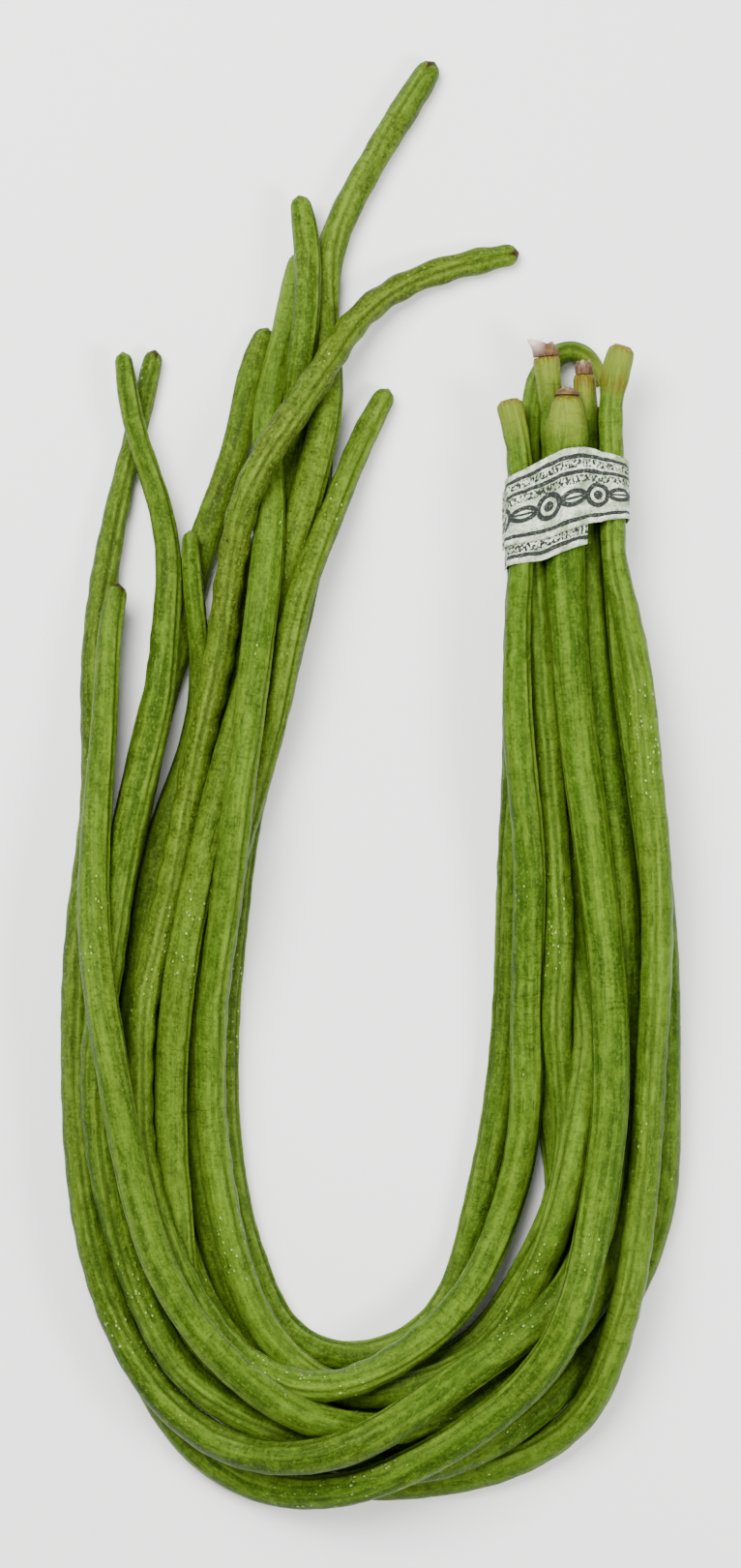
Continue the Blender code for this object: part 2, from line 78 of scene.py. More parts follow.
# How each pod looks, along its length from stem end (0) to tip (1):
# seam is where one of its two seams lies, in degrees from straight up, positive to the right
# of the way the pod runs; flat is how far it is pressed flat; seeds how far the seeds swell it;
# dome is how far the rim of its stem end is drawn in and over what length, and bulge how far it
# swells after that; collar is the height of an old ring of growth near the stem end; scar is
# how far brown marks reach from the stem end; tint runs from -1, deep green, to 1, yellow-green;
# pebbly is how grainy and brown it gets toward the tip; tip is how brown its tip has dried.
POD_LOOKS = {
    "bean_01": dict(seam=((0, 10), (0.12, 12), (0.3, 4), (0.45, 60), (0.9, 60), (0.94, -8), (1, -12)),
                    flat=0.04, seeds=0.3, collar=0.12, dome=(0.42, 7 * MM), tint=0.35, pebbly=0.5,
                    tip=1.0),
    "bean_02": dict(seam=((0, 70), (0.6, 80), (0.85, 65), (1, 70)),
                    flat=0.05, seeds=0.3, tint=0.1, pebbly=0.35, tip=0.1),
    "bean_03": dict(seam=((0, -38), (0.12, -52), (0.3, -75), (0.55, 30), (0.66, 4), (0.82, -4),
                          (0.9, 25), (1, 2)),
                    flat=0.05, seeds=0.9, dome=(0.3, 3 * MM), tint=0.15, pebbly=0.9, tip=0.9),
    "bean_04": dict(seam=((0, 84), (0.3, 80), (0.5, 60), (0.7, 95), (1, 90)),
                    flat=0.17, seeds=0.15, dome=(0.26, 10 * MM), bulge=0.13, tint=-0.05, pebbly=0.5,
                    tip=0.1),
    "bean_05": dict(seam=((0, 20), (0.12, 6), (0.3, 0), (0.5, 70), (0.85, 40), (1, 25)),
                    flat=0.03, seeds=0.25, tint=0.2, pebbly=0.45, tip=0.2),
    "bean_06": dict(seam=((0, 60), (0.4, 80), (0.6, -30), (0.75, 35), (1, 60)),
                    flat=0.03, seeds=0.5, tint=-0.1, pebbly=0.2, tip=0.1),
    "bean_07": dict(seam=((0, 60), (0.2, 85), (0.42, 95), (0.58, 20), (0.7, -10), (1, 20)),
                    flat=0.07, seeds=0.35, scar=8 * MM, tint=-0.3, pebbly=0.4, tip=0.7),
    "bean_08": dict(seam=((0, 40), (0.6, 60), (1, 80)),
                    flat=0.02, seeds=0.2, tint=0.1, pebbly=0.3, tip=0.1),
    "bean_09": dict(seam=((0, 50), (0.4, 90), (0.7, 100), (1, 40)),
                    flat=0.02, seeds=0.2, tint=0.1, pebbly=0.2, tip=0.8),
    "bean_10": dict(seam=((0, -30), (0.2, 20), (0.45, 55), (0.62, 32), (0.76, 40), (0.86, 76), (1, 80)),
                    flat=0.08, seeds=0.45, tint=0.25, pebbly=0.1, tip=0.1),
    "bean_11": dict(seam=((0, 30), (0.4, 60), (0.7, 55), (1, 60)),
                    flat=0.03, seeds=0.5, tint=-0.25, pebbly=0.4, tip=0.1),
}

# How each calyx looks: the lobes of its rim, how far it narrows to the rim, and how far one
# side of the rim curls out.
CALYX_LOOKS = {
    "calyx_01": dict(lobes=5, taper=0.85, curl=0.0),
    "calyx_02": dict(lobes=4, taper=0.3, curl=0.0),
    "calyx_03": dict(lobes=3, taper=0.5, curl=3.2 * MM),
}


# ---------------------------------------------------------------- shapes worked out with numpy

def ease(x):
    """0 to 1 as x goes from 0 to 1, flat at both ends: 3 x squared less 2 x cubed."""
    x = np.clip(x, 0.0, 1.0)
    return x * x * (3.0 - 2.0 * x)


def bell(x, middle, width):
    """A bell curve in x: 1 at its middle, 0.37 a width away from it."""
    return np.exp(-((x - middle) / width)**2)


def wander(x, seed, period, octaves=3):
    """A smooth wandering line in -1 to 1: a sum of sines whose periods halve, phases seeded."""
    phases = np.random.default_rng(seed).uniform(0.0, 2.0 * np.pi, 2 * octaves)
    total = np.zeros_like(x)
    for k in range(octaves):
        turn = 2.0 * np.pi * x * 2.0**k / period
        total += (np.sin(turn + phases[k]) + np.sin(1.37 * turn + phases[octaves + k])) / 2.0**(k + 1)
    return total / 2.0


def smooth_curve(points, step, pieces=24):
    """Evenly spaced points on a smooth curve through the given ones, with their distances along.

    Each row is x, y, z and what else the point carries. Every span is first cut into pieces.
    """
    through = np.concatenate((2.0 * points[:1] - points[1:2], points, 2.0 * points[-1:] - points[-2:-1]))
    span = np.linalg.norm(np.diff(through[:, :3], axis=0), axis=1)[:, None]
    slope = np.diff(through, axis=0) / span
    tangent = (slope[:-1] * span[1:] + slope[1:] * span[:-1]) / (span[:-1] + span[1:])
    t = np.linspace(0.0, 1.0, pieces, endpoint=False)[None, :, None]
    a, b = points[:-1, None], points[1:, None]
    ta, tb, reach = tangent[:-1, None], tangent[1:, None], span[1:-1, None]
    fine = ((2 * t**3 - 3 * t**2 + 1) * a + (t**3 - 2 * t**2 + t) * reach * ta
            + (3 * t**2 - 2 * t**3) * b + (t**3 - t**2) * reach * tb)
    fine = np.concatenate((fine.reshape(-1, points.shape[1]), points[-1:]))
    along = np.concatenate(([0.0], np.cumsum(np.linalg.norm(np.diff(fine[:, :3], axis=0), axis=1))))
    stations = np.linspace(0.0, along[-1], int(round(along[-1] / step)) + 1)
    even = np.stack([np.interp(stations, along, column) for column in fine.T], axis=1)
    return stations, even


def soften(values, rounds):
    """Evens a line of values out: each inner one moves half way to its neighbours' mean."""
    values = values.copy()
    for _ in range(rounds):
        values[1:-1] += 0.25 * (values[:-2] - 2.0 * values[1:-1] + values[2:])
    return values


def welded(node):
    """A CAD node's points without doubles, and its triangles as indices into them."""
    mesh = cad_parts[node].data
    points = np.empty(3 * len(mesh.vertices), np.float32)
    mesh.vertices.foreach_get("co", points)
    corners = np.empty(3 * len(mesh.polygons), np.int32)
    mesh.loops.foreach_get("vertex_index", corners)
    points, place = np.unique(points.reshape(-1, 3), axis=0, return_inverse=True)
    return points.astype(float), place.reshape(-1)[corners].reshape(-1, 3)


def tube_rings(node, near):
    """A CAD tube's rings, as rows of x, y, z and radius, starting at its end nearest a point.

    An end cap is the flat of TUBE_SIDES points round some triangle. Every further ring is
    what the ring before it is joined to and that has not been reached yet, less any point of
    the ring after it, which stands out as far away.
    """
    points, triangles = welded(node)
    corner = points[triangles]
    middle = corner.mean(axis=1)
    normal = np.cross(corner[:, 1] - corner[:, 0], corner[:, 2] - corner[:, 0])
    normal /= np.maximum(np.linalg.norm(normal, axis=1), 1e-12)[:, None]
    offset = points[None, :, :] - middle[:, None, :]
    height = np.abs((offset * normal[:, None, :]).sum(axis=2))
    on_face = (height < CAP_FLAT) & ((offset**2).sum(axis=2) < CAP_REACH**2)
    caps = on_face[on_face.sum(axis=1) == TUBE_SIDES]
    centres = (caps @ points) / TUBE_SIDES
    ring = caps[np.linalg.norm(centres - near, axis=1).argmin()]

    joined = np.zeros((len(points), len(points)), bool)
    for a, b in ((0, 1), (1, 2), (2, 0)):
        joined[triangles[:, a], triangles[:, b]] = True
        joined[triangles[:, b], triangles[:, a]] = True
    reached = np.zeros(len(points), bool)
    rows = []
    while ring.any():
        members = np.nonzero(ring)[0]
        away = np.linalg.norm(points[members] - np.median(points[members], axis=0), axis=1)
        ring[members[away > 1.5 * np.median(away)]] = False
        if abs(ring.sum() - TUBE_SIDES) > 2:
            raise ValueError(f"{node} has a ring of {ring.sum()} points, not about {TUBE_SIDES}")
        reached |= ring
        centre = points[ring].mean(axis=0)
        rows.append((*centre, np.linalg.norm(points[ring] - centre, axis=1).mean()))
        ring = joined[ring].any(axis=0) & ~reached
    return np.array(rows)


def path_frames(path):
    """Unit vectors across a path: upward, and to the right of it as seen from above."""
    ahead = np.gradient(path, axis=0)
    ahead /= np.linalg.norm(ahead, axis=1)[:, None]
    up = np.array((0.0, 0.0, 1.0)) - ahead[:, 2:] * ahead
    up /= np.linalg.norm(up, axis=1)[:, None]
    return up, np.cross(ahead, up)


def closed_skin(name, grid, fields):
    """A closed mesh over a grid of rows round a body: quads between rows, a fan at each end.

    grid is rows x columns x 3; the first and last rows are drawn together at their middles.
    fields are values at the same grid points, kept as attributes; vector ones have 3 numbers.
    """
    rows, columns = grid.shape[:2]
    points = np.concatenate((grid.reshape(-1, 3), grid[:1].mean(axis=1), grid[-1:].mean(axis=1)))
    row, column = np.meshgrid(np.arange(rows - 1), np.arange(columns), indexing="ij")
    after = (column + 1) % columns
    quads = np.stack((row * columns + column, row * columns + after, (row + 1) * columns + after,
                      (row + 1) * columns + column), axis=-1).reshape(-1, 4)
    around = np.arange(columns)
    beside = (around + 1) % columns
    first, last = rows * columns, rows * columns + 1
    start_fan = np.stack((beside, around, np.full(columns, first)), axis=1)
    end_row = (rows - 1) * columns
    end_fan = np.stack((end_row + around, end_row + beside, np.full(columns, last)), axis=1)

    mesh = bpy.data.meshes.new(name)
    mesh.vertices.add(len(points))
    mesh.vertices.foreach_set("co", points.ravel())
    loops = np.concatenate((quads.ravel(), start_fan.ravel(), end_fan.ravel()))
    sizes = np.concatenate((np.full(len(quads), 4), np.full(2 * columns, 3)))
    mesh.loops.add(len(loops))
    mesh.loops.foreach_set("vertex_index", loops)
    mesh.polygons.add(len(sizes))
    mesh.polygons.foreach_set("loop_start", np.concatenate(([0], np.cumsum(sizes)[:-1])))
    mesh.update(calc_edges=True)
    mesh.validate()
    for field, values in fields.items():
        vector = values.ndim == 3
        ends = (values[:1].mean(axis=1), values[-1:].mean(axis=1))
        flat = np.concatenate((values.reshape(-1, 3) if vector else values.ravel(), *ends))
        layer = mesh.attributes.new(field, "FLOAT_VECTOR" if vector else "FLOAT", "POINT")
        flat = np.ascontiguousarray(flat, np.float32).ravel()
        layer.data.foreach_set("vector" if vector else "value", flat)
    mesh.shade_smooth()
    return mesh


def add_piece(name, mesh, material, node):
    """Puts a finished mesh in the scene in place of its CAD node, riding on the bunch."""
    mesh.materials.append(material)
    piece = bpy.data.objects.new(name, mesh)
    bpy.context.scene.collection.objects.link(piece)
    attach(piece, "root")
    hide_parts(node)


# ---------------------------------------------------------------- materials

def linear(hex_colour):
    """An sRGB hex colour as the linear RGBA that shaders take."""
    value = np.array([int(hex_colour[k:k + 2], 16) for k in (1, 3, 5)]) / 255.0
    value = np.where(value <= 0.04045, value / 12.92, ((value + 0.055) / 1.055)**2.4)
    return (*value, 1.0)


def add_node(tree, kind, inputs=None, output=0, **settings):
    """Adds a node and returns one of its outputs.

    settings are its properties; inputs are its constants and the links into it.
    """
    node = tree.nodes.new("ShaderNode" + kind)
    for key, value in settings.items():
        setattr(node, key, value)
    for key, value in (inputs or {}).items():
        if isinstance(value, bpy.types.NodeSocket):
            tree.links.new(value, node.inputs[key])
        else:
            node.inputs[key].default_value = value
    return node.outputs[output]


def new_material(name):
    """An empty material with its tree and its shader, to be filled."""
    material = bpy.data.materials.new(name)
    material.use_nodes = True
    return material, material.node_tree, material.node_tree.nodes["Principled BSDF"]


def grains(tree, place, *patterns):
    """Noise patterns in 0 to 1, each given by its grain's size on each axis, detail, roughness."""
    values = []
    for size, detail, roughness in patterns:
        sized = add_node(tree, "Mapping", {"Vector": place, "Scale": [1.0 / side for side in size]})
        values.append(add_node(tree, "TexNoise", {"Vector": sized, "Scale": 1.0, "Detail": detail,
                                                  "Roughness": roughness}))
    return values


def coated(tree, ground, coats):
    """A ground colour with coats of other colours on it, in order.

    As a coat's value goes from its low to its high limit, the coat goes from its least
    thickness to its most.
    """
    colour = linear(ground)
    for value, low, high, least, most, coat in coats:
        amount = add_node(tree, "MapRange", {0: value, 1: low, 2: high, 3: least, 4: most})
        colour = add_node(tree, "Mix", {0: amount, 6: colour, 7: linear(coat)}, 2, data_type="RGBA")
    return colour


def fresh_pod_skin(look):
    """Fresh bean pod skin: a thin wax bloom over green flesh, so a soft satin with small glints.

    The eye sees long light and dark streaks, fine pores, a dark seam between two pale ribs,
    cross puckers where the pod bends, darkened in their creases by painted shade, a brownish
    pebbly grain toward the tip, wet specks with pale painted highlights as glints, a pale stem
    end and a dried brown tip. The attribute skin holds the place on a straight pod,
    and the others say how much of each mark a point has. Threads and pores are drawn coarser
    than real ones, so that they show.
    """
    material, tree, shader = new_material("fresh_pod_skin")
    skin = add_node(tree, "Attribute", output="Vector", attribute_name="skin")
    tint, pebbly, bent, rib, seam, pale, scar, wet, dry = (
        add_node(tree, "Attribute", output="Fac", attribute_name=field)
        for field in ("tint", "pebbly", "pucker", "rib", "seam", "pale", "scar", "wet", "dry"))
    streak, thread, cloud, mottle, pores, pucker = grains(
        tree, skin,
        ((1.8 * MM, 1.8 * MM, 42 * MM), 3.0, 0.55), ((0.55 * MM, 0.55 * MM, 30 * MM), 2.0, 0.55),
        ((5 * MM, 5 * MM, 20 * MM), 3.0, 0.55), ((2.6 * MM, 2.6 * MM, 4.5 * MM), 3.0, 0.6),
        ((0.75 * MM, 0.75 * MM, 1.0 * MM), 2.0, 0.7), ((4.5 * MM, 4.5 * MM, 1.1 * MM), 3.0, 0.65))

    blotch = add_node(tree, "MapRange", {0: mottle, 1: 0.62, 2: 0.4, 3: 0.0, 4: 0.45})
    grain = add_node(tree, "Math", {0: pebbly, 1: 0.5, 2: 0.45}, operation="MULTIPLY_ADD")
    # how dark the painted shade in the pucker creases gets
    crease = add_node(tree, "Math", {0: bent, 1: 0.5}, operation="MULTIPLY")
    pale_streak = add_node(tree, "MapRange", {0: streak, 1: 0.3, 2: 0.6, 3: 0.55, 4: 1.0})
    worn_rib, worn_seam = (
        add_node(tree, "MapRange", {0: mottle, 1: 0.38, 2: 0.56, 3: 0.2 * most, 4: most})
        for most in (0.35, 0.7))
    dried = add_node(tree, "Math", {0: pores, 1: 0.5, 2: dry}, operation="MULTIPLY_ADD")

    drops_per_metre = (600.0, 600.0, 450.0)
    sized = add_node(tree, "Mapping", {"Vector": skin, "Scale": drops_per_metre})
    from_drop = add_node(tree, "TexVoronoi", {"Vector": sized, "Scale": 1.0}, "Distance")
    wetness = add_node(tree, "Math", {0: wet, 1: cloud}, operation="MULTIPLY")
    # the first patch lowers roughness and bumps the drops; the second, weaker one paints pale highlights on
    # them as glints
    wet_patch, painted_glint_patch = (
        add_node(tree, "MapRange", {0: wetness, 1: 0.4, 2: 0.46, 3: 0.0, 4: most}) for most in (1.0, 0.6))
    drop = add_node(tree, "MapRange", {0: from_drop, 1: 0.34, 2: 0.22, 3: 0.0, 4: wet_patch})

    colour = coated(tree, look.deep_green, (
        (cloud, 0.3, 0.62, 0.25, 1.0, look.mid_green),
        (streak, 0.42, 0.66, 0.0, 0.6, look.light_green),
        (tint, 0.0, 1.0, 0.0, 0.6, look.light_green),
        (tint, 0.0, -1.0, 0.0, 0.9, look.olive_green),
        (pebbly, 0.0, 1.0, 0.0, 0.6, look.pebble_brown),
        (mottle, 0.52, 0.7, 0.0, 0.35, look.light_green),
        (mottle, 0.48, 0.3, 0.0, 0.35, look.deep_green),
        (thread, 0.54, 0.66, 0.0, blotch, look.seam_and_crease_shade),
        # painted shade: the creases of the puckers darkened with the seam's colour
        (pucker, 0.54, 0.68, 0.0, crease, look.seam_and_crease_shade),
        (pores, 0.55, 0.72, 0.0, grain, look.light_green),
        (pores, 0.45, 0.28, 0.0, grain, look.seam_and_crease_shade),
        (rib, 0.0, 1.0, 0.0, worn_rib, look.rib_green),
        (seam, 0.0, 1.0, 0.0, worn_seam, look.seam_and_crease_shade),
        (pale, 0.0, 1.0, 0.0, pale_streak, look.stem_green),
        (thread, 0.42, 0.56, 0.0, scar, look.scar_brown),
        (dried, 0.62, 0.95, 0.0, 1.0, look.tip_brown),
        # painted highlight: pale glints on the drops of the wet specks
        (from_drop, 0.22, 0.06, 0.0, painted_glint_patch, look.painted_glint_green)))
    tree.links.new(colour, shader.inputs["Base Color"])
    dull = add_node(tree, "MapRange", {0: cloud, 1: 0.2, 2: 0.8, 3: look.roughness - 0.06,
                                       4: look.roughness + 0.1})
    rough = add_node(tree, "MapRange", {0: drop, 1: 0.0, 2: 1.0, 3: dull, 4: look.wet_roughness})
    tree.links.new(rough, shader.inputs["Roughness"])
    shader.inputs["Specular IOR Level"].default_value = look.shine
    shader.inputs["Specular Tint"].default_value = linear(look.shine_green)

    pore_depth = add_node(tree, "Math", {0: pebbly, 1: 0.25, 2: 0.18}, operation="MULTIPLY_ADD")
    pucker_line = add_node(tree, "MapRange", {0: pucker, 1: 0.54, 2: 0.68, 3: 0.0, 4: bent})
    relief = 0.0
    for height, share in ((pores, pore_depth), (streak, 0.12), (pucker_line, -0.35), (mottle, 0.35),
                          (drop, 0.35)):
        relief = add_node(tree, "Math", {0: height, 1: share, 2: relief}, operation="MULTIPLY_ADD")
    bump = add_node(tree, "Bump", {"Height": relief, "Distance": 0.6 * MM, "Strength": 0.9})
    tree.links.new(bump, shader.inputs["Normal"])
    return material


def dried_calyx(look):
    """Dried calyx: shrunken flower tissue, brown and matt, papery and pinkish white at its edge."""
    material, tree, shader = new_material("dried_calyx")
    place = add_node(tree, "TexCoord", output="Object")
    paper = add_node(tree, "Attribute", output="Fac", attribute_name="paper")
    fibre, cloud = grains(tree, place, ((0.5 * MM, 2.5 * MM, 0.5 * MM), 3.0, 0.55),
                          ((2 * MM, 2 * MM, 2 * MM), 2.0, 0.55))
    colour = coated(tree, look.calyx_dark, (
        (fibre, 0.35, 0.65, 0.0, 1.0, look.calyx_brown),
        (cloud, 0.45, 0.7, 0.0, 0.5, look.calyx_green),
        (paper, 0.0, 1.0, 0.0, 1.0, look.calyx_paper)))
    tree.links.new(colour, shader.inputs["Base Color"])
    shader.inputs["Roughness"].default_value = 0.85
    bump = add_node(tree, "Bump", {"Height": fibre, "Distance": 0.3 * MM, "Strength": 0.9})
    tree.links.new(bump, shader.inputs["Normal"])
    return material


def printed_paper(tape):
    """Thin printed tape paper: soft pale grey-green fibres, crinkled, with worn dark ink.

    The print is border lines, rows of short strokes, and rings and leaves. The attribute tape
    holds the place on the flat strip: metres along it, metres across it, then turns wound. The
    inner end, of which only the lower part is seen, has a row of strokes there and no rings and
    leaves. The fibres are drawn coarser than real ones, so that they show.
    """
    material, tree, shader = new_material("printed_paper")
    flat = add_node(tree, "Attribute", output="Vector", attribute_name="tape")
    along, across, wound = (add_node(tree, "SeparateXYZ", {0: flat}, axis) for axis in "XYZ")
    endless = 10.0               # metres, so that the turns wound don't change a pattern
    fibre, cloud, crease, dashes = grains(
        tree, flat,
        ((0.7 * MM, 0.4 * MM, endless), 4.0, 0.7), ((4 * MM, 3 * MM, endless), 3.0, 0.55),
        ((1.6 * MM, 5 * MM, endless), 4.0, 0.6), ((0.6 * MM, 1.0 * MM, endless), 1.0, 0.55))

    def ink_at(value, middle, width):
        """Ink where a value lies within half a width of a middle one."""
        return add_node(tree, "Math", {0: value, 1: middle, 2: 0.5 * width}, operation="COMPARE")

    def from_points(first, place):
        """How far away the nearest of a row of points is, an ornament pitch apart.

        The first of them lies at a distance along the strip, and all at a place across it.
        """
        half = 0.5 * tape.ornament_pitch
        passed = add_node(tree, "Math", {0: along, 1: first}, operation="SUBTRACT")
        nearest = add_node(tree, "Math", {0: passed, 1: half, 2: -half}, operation="WRAP")
        here = add_node(tree, "CombineXYZ", {0: nearest, 1: across})
        return add_node(tree, "VectorMath", {0: here, 1: (0.0, place, 0.0)}, "Value",
                        operation="DISTANCE")

    middle = 0.62 * tape.width
    ring_radius, dot_radius, leaf_radius = 2.6 * MM, 1.2 * MM, 4.7 * MM
    ring_line, leaf_line, vein_line = 1.24 * MM, 1.2 * MM, 0.6 * MM
    leaf_bow = 3.2 * MM
    from_ring = from_points(0.5 * tape.ornament_pitch, middle)
    in_leaf = add_node(tree, "Math", {0: from_points(0.0, middle - leaf_bow),
                                      1: from_points(0.0, middle + leaf_bow)}, operation="MAXIMUM")
    ring = ink_at(from_ring, ring_radius, ring_line)
    dot = add_node(tree, "Math", {0: from_ring, 1: dot_radius}, operation="LESS_THAN")
    leaf = ink_at(in_leaf, leaf_radius, leaf_line)
    inner_leaf = add_node(tree, "Math", {0: in_leaf, 1: leaf_radius - 0.1 * MM}, operation="LESS_THAN")

    inner_turns = 0.8            # turns wound where the inner end's print stops
    inner = add_node(tree, "Math", {0: wound, 1: inner_turns}, operation="LESS_THAN")
    outer = add_node(tree, "Math", {0: wound, 1: inner_turns}, operation="GREATER_THAN")
    stroke = add_node(tree, "Math", {0: dashes, 1: 0.5}, operation="GREATER_THAN")
    inner_stroke = add_node(tree, "Math", {0: stroke, 1: inner}, operation="MULTIPLY")
    waver = add_node(tree, "MapRange", {0: cloud, 1: 0.0, 2: 1.0, 3: -0.5 * MM, 4: 0.5 * MM})
    wavering = add_node(tree, "Math", {0: across, 1: waver}, operation="ADD")
    marks = [ink_at(wavering, place * tape.width, tape.line_width) for place in (0.11, 0.31, 0.9)]
    for mark, mask in ((ring, outer), (dot, outer), (leaf, outer),
                       (ink_at(across, middle, vein_line),
                        add_node(tree, "Math", {0: inner_leaf, 1: outer}, operation="MULTIPLY")),
                       (ink_at(across, 0.2 * tape.width, 1.9 * MM), stroke),
                       (ink_at(across, 0.4 * tape.width, 1.9 * MM), stroke),
                       (ink_at(across, 0.8 * tape.width, 2.0 * MM), inner_stroke)):
        marks.append(add_node(tree, "Math", {0: mark, 1: mask}, operation="MULTIPLY"))
    ink = 0.0
    for mark in marks:
        ink = add_node(tree, "Math", {0: mark, 1: ink}, operation="MAXIMUM")
    worn = add_node(tree, "MapRange", {0: fibre, 1: 0.3, 2: 0.46, 3: 0.7, 4: 1.0})

    colour = coated(tree, tape.paper_green, (
        (cloud, 0.38, 0.62, 0.0, 1.0, tape.paper_white),
        (fibre, 0.5, 0.64, 0.0, 0.8, tape.paper_dirt_and_crinkle_shade),
        # painted shade: the paper darker in its crinkles
        (crease, 0.52, 0.68, 0.0, 0.6, tape.paper_dirt_and_crinkle_shade),
        (ink, 0.0, 1.0, 0.0, worn, tape.ink)))
    tree.links.new(colour, shader.inputs["Base Color"])
    shader.inputs["Roughness"].default_value = 0.72
    relief = add_node(tree, "Math", {0: fibre, 1: 0.35, 2: crease}, operation="MULTIPLY_ADD")
    bump = add_node(tree, "Bump", {"Height": relief, "Distance": 1.4 * MM, "Strength": 1.0})
    tree.links.new(bump, shader.inputs["Normal"])
    return material


# ---------------------------------------------------------------- settings

class BeanPodSettings(bpy.types.PropertyGroup):
    """Sizes and colours of the pods and calyxes."""
    row_step: bpy.props.FloatProperty(name="Row step", description="Spacing of a pod's rows of points",
                                      default=1.2 * MM, unit="LENGTH")
    columns: bpy.props.IntProperty(name="Columns", description="Points round a pod", default=56)
    swell: bpy.props.FloatProperty(name="Swell", description="How far a skin stands out from its CAD tube",
                                   default=0.15 * MM, unit="LENGTH")
    seam_depth: bpy.props.FloatProperty(name="Seam depth", description="Depth of the two seams",
                                        default=0.5 * MM, unit="LENGTH")
    seam_width: bpy.props.FloatProperty(name="Seam width", description="Width of a seam's groove",
                                        default=0.9 * MM, unit="LENGTH")
    rib_height: bpy.props.FloatProperty(name="Rib height", description="Height of the ribs beside a seam",
                                        default=0.16 * MM, unit="LENGTH")
    seed_pitch: bpy.props.FloatProperty(name="Seed pitch", description="Spacing of the seeds along a pod",
                                        default=10.5 * MM, unit="LENGTH")
    seed_swell: bpy.props.FloatProperty(name="Seed swell", description="How far a seed swells the pod",
                                        default=0.3 * MM, unit="LENGTH")
    facet_height: bpy.props.FloatProperty(name="Facet height", description="Height of a pod's long facets",
                                          default=0.06 * MM, unit="LENGTH")
    lump_height: bpy.props.FloatProperty(name="Lump height", description="Height of the uneven lumps",
                                         default=0.11 * MM, unit="LENGTH")
    roughness: bpy.props.FloatProperty(name="Roughness", description="Roughness of the skin",
                                       default=0.48)
    wet_roughness: bpy.props.FloatProperty(name="Wet roughness", description="Roughness of the wet specks",
                                           default=0.12)
    shine: bpy.props.FloatProperty(name="Shine", description="Strength of the skin's reflection",
                                   default=0.1)
    shine_green: bpy.props.StringProperty(name="Shine green", description="Tint of the skin's reflection",
                                          default="#c6d89a")
    deep_green: bpy.props.StringProperty(name="Deep green", description="Shaded streaks", default="#20360a")
    mid_green: bpy.props.StringProperty(name="Mid green", description="Most of the skin", default="#304b0b")
    light_green: bpy.props.StringProperty(name="Light green", description="Pale streaks",
                                          default="#617c24")
    olive_green: bpy.props.StringProperty(name="Olive green", description="Duller pods",
                                          default="#2c3f0d")
    pebble_brown: bpy.props.StringProperty(name="Pebble brown", description="Grain toward the tips",
                                           default="#474a14")
    rib_green: bpy.props.StringProperty(name="Rib green", description="Ribs beside a seam",
                                        default="#7a9238")
    # The seam's own dark colour, also used for dark threads and pores, and as painted shade in the pucker
    # creases
    seam_and_crease_shade: bpy.props.StringProperty(name="Seam green", description="Bottom of a seam",
                                         default="#152205")
    # Painted highlight: the pale colour of the glints on the wet specks
    painted_glint_green: bpy.props.StringProperty(name="Glint green", description="Wet specks", default="#b4c976")
    stem_green: bpy.props.StringProperty(name="Stem green", description="Stem ends", default="#707c2c")
    tip_brown: bpy.props.StringProperty(name="Tip brown", description="Dried tips", default="#2c2008")
    scar_brown: bpy.props.StringProperty(name="Scar brown", description="Marks round stem ends",
                                         default="#5d3c12")
    calyx_dark: bpy.props.StringProperty(name="Calyx dark", description="Creases of a calyx",
                                         default="#2a1207")
    calyx_brown: bpy.props.StringProperty(name="Calyx brown", description="A calyx", default="#643a1d")
    calyx_green: bpy.props.StringProperty(name="Calyx green", description="Its fresher parts",
                                          default="#6c6a24")
    calyx_paper: bpy.props.StringProperty(name="Calyx paper", description="Its papery edge",
                                          default="#ddc9bd")


class PaperTapeSettings(bpy.types.PropertyGroup):
    """Sizes and colours of the paper tape."""
    width: bpy.props.FloatProperty(name="Width", description="Width of the tape", default=18.5 * MM,
                                   unit="LENGTH")
    turns: bpy.props.FloatProperty(name="Turns", description="How often the tape goes round", default=1.575)
    turn_shift: bpy.props.FloatProperty(name="Turn shift", description="How far a turn lies above the last",
                                        default=5.5 * MM, unit="LENGTH")
    level: bpy.props.FloatProperty(name="Level", description="Tape's middle after one turn, above the "
                                   "band's middle", default=0.2 * MM, unit="LENGTH")
    turn_rise: bpy.props.FloatProperty(name="Turn rise", description="Height of each turn over the last",
                                       default=0.8 * MM, unit="LENGTH")
    clearance: bpy.props.FloatProperty(name="Clearance", description="Between the tape and the pods",
                                       default=0.45 * MM, unit="LENGTH")
    start_angle: bpy.props.FloatProperty(name="Start angle", description="Where the tape's inner end lies, "
                                         "in degrees up from the right", default=63.0)
    thickness: bpy.props.FloatProperty(name="Thickness", description="Thickness of a turn", default=0.2 * MM,
                                       unit="LENGTH")
    slant: bpy.props.FloatProperty(name="Slant", description="Rise of the tape from the leg's middle to its "
                                   "right side", default=5.4 * MM, unit="LENGTH")
    bow: bpy.props.FloatProperty(name="Bow", description="How far the tape bows to the stem ends on top",
                                 default=9.0 * MM, unit="LENGTH")
    line_width: bpy.props.FloatProperty(name="Line width", description="Width of a printed line",
                                        default=1.05 * MM, unit="LENGTH")
    ornament_pitch: bpy.props.FloatProperty(name="Ornament pitch", description="Spacing of rings or leaves",
                                            default=12.5 * MM, unit="LENGTH")
    paper_white: bpy.props.StringProperty(name="Paper white", description="Bare paper", default="#ecf5dc")
    paper_green: bpy.props.StringProperty(name="Paper green", description="Green-stained paper",
                                          default="#95a780")
    # Real dark fibres and dirt, and also the painted shade in the paper's crinkles
    paper_dirt_and_crinkle_shade: bpy.props.StringProperty(name="Paper shade", description="Fibres and dirt",
                                          default="#4c5a40")
    ink: bpy.props.StringProperty(name="Ink", description="Printed marks", default="#08140d")


